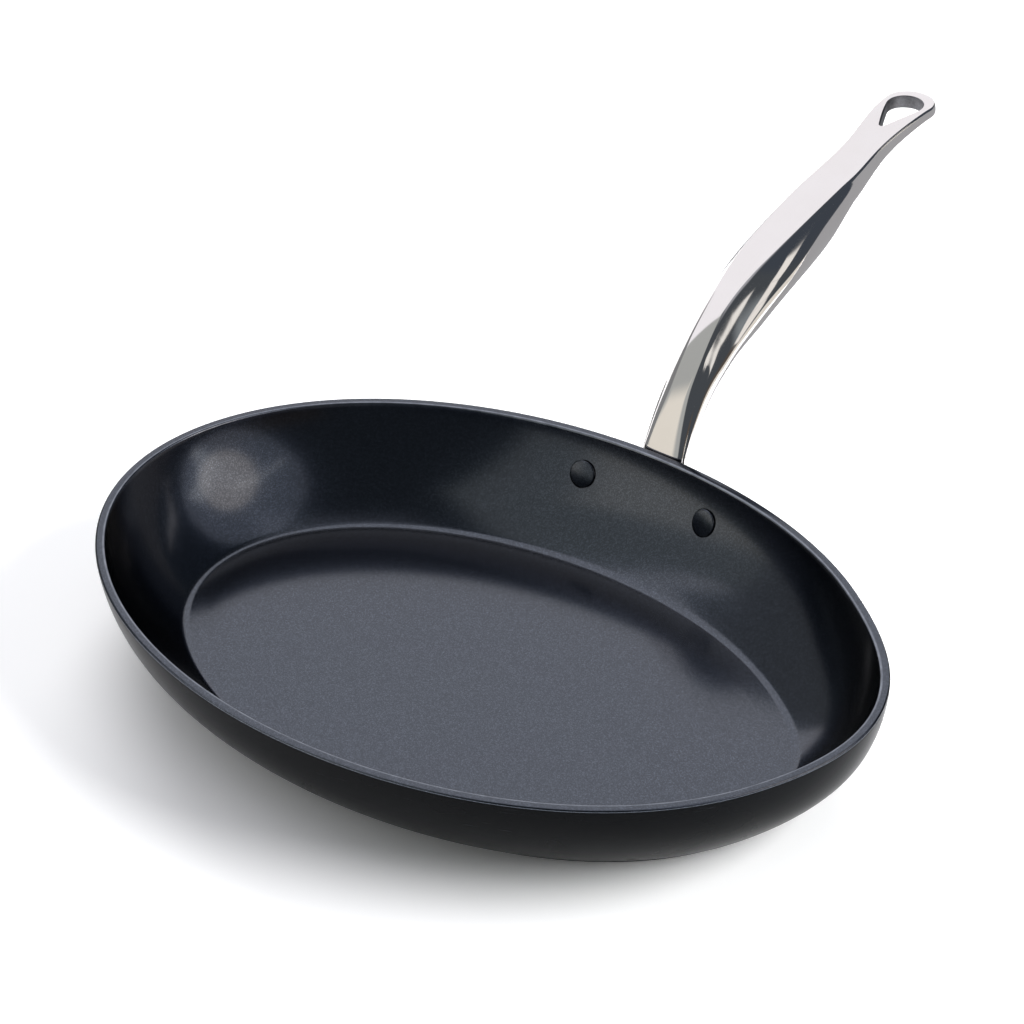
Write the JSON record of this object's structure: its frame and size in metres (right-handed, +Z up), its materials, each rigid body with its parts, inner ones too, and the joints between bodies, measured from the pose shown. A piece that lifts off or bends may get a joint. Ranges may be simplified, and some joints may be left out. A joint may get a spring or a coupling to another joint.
{
  "type": "oval fish pan",
  "caption": "Oval non-stick frying pan with a flat lip, a shallow pouring end, an induction base and a riveted cast steel handle with a teardrop hanging hole.",
  "frame": {"origin": "centre of the induction plate's lower face, where the pan rests", "axes": "+Z up, +Y towards the handle, +X along the oval's long axis towards the pouring end"},
  "size_m": [0.3633, 0.4496, 0.1367],
  "materials": {
    "non_stick_coating": "dark ceramic non-stick coating on cast aluminium, satin",
    "brushed_base_steel": "brushed stainless steel",
    "polished_cast_steel": "mirror-polished cast stainless steel",
    "coated_rivet": "aluminium rivet, coated with the bowl"
  },
  "bodies": {
    "root": {"pan_body": "non_stick_coating", "induction_base": "brushed_base_steel", "handle": "polished_cast_steel", "rivet_left": "coated_rivet", "rivet_right": "coated_rivet"}
  },
  "joints": []
}
